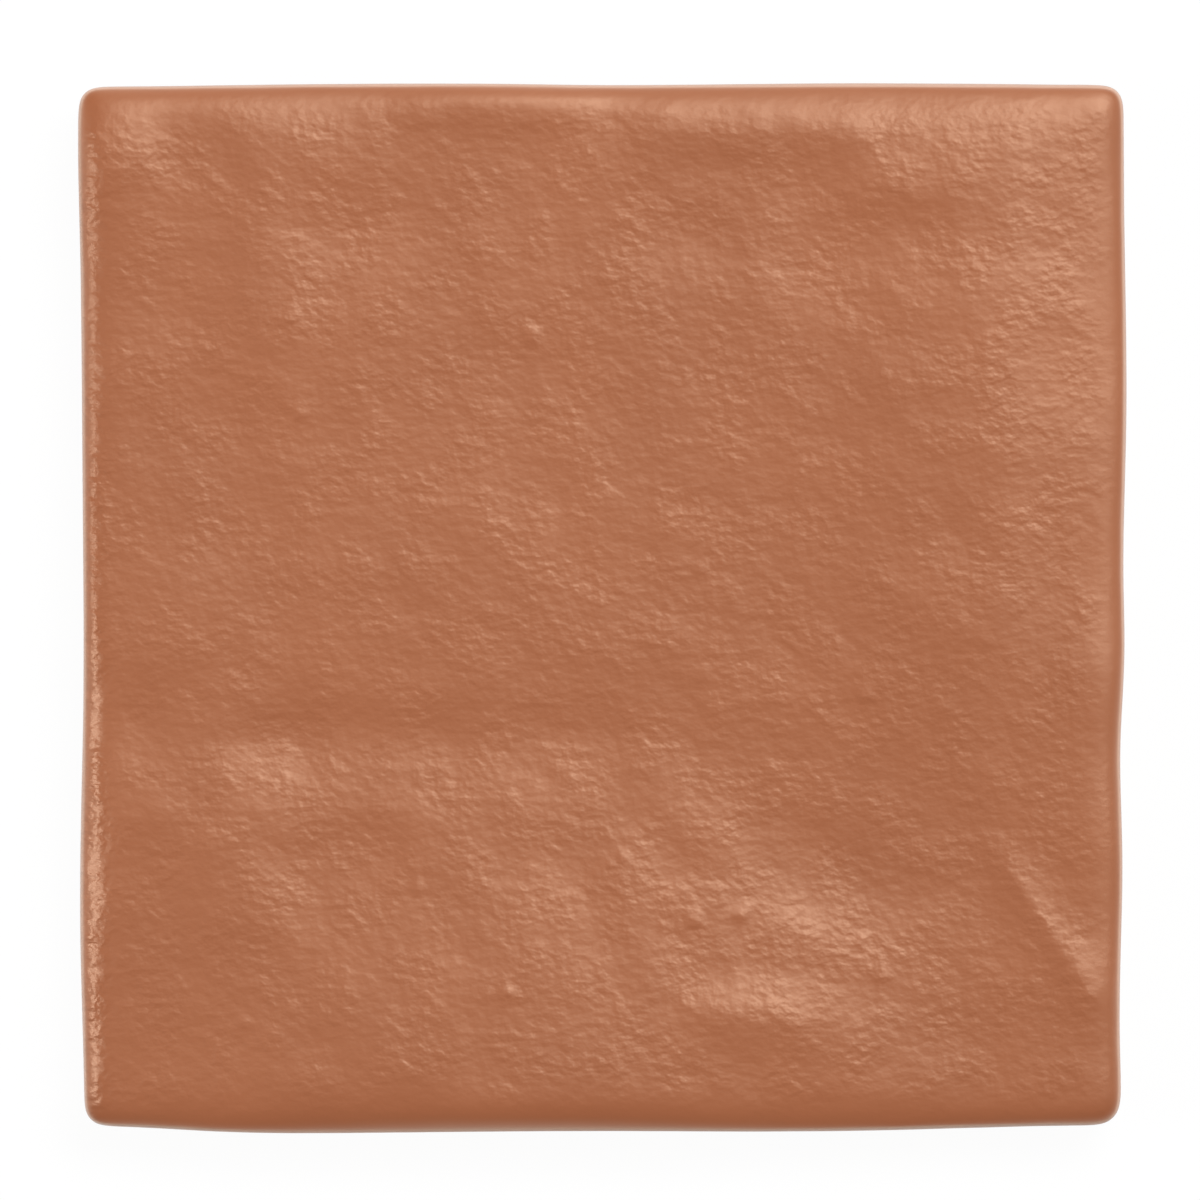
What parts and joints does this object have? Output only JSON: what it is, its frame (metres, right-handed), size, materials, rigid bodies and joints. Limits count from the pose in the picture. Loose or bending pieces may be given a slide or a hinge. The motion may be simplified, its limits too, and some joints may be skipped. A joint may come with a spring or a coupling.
{
  "type": "zellige tile",
  "caption": "Square terracotta-brown glazed zellige wall tile with an uneven satin face and softly rolled edges, lying on its plain clay back.",
  "frame": {"origin": "centre of the flat back, on the surface that the tile lies on", "axes": "+Z out of the glazed face, +X to the right and +Y to the top edge of the tile as seen from the face"},
  "size_m": [0.0999, 0.1001, 0.0113],
  "materials": {
    "glaze": "satin"
  },
  "bodies": {
    "root": {"tile": "glaze"}
  },
  "joints": []
}
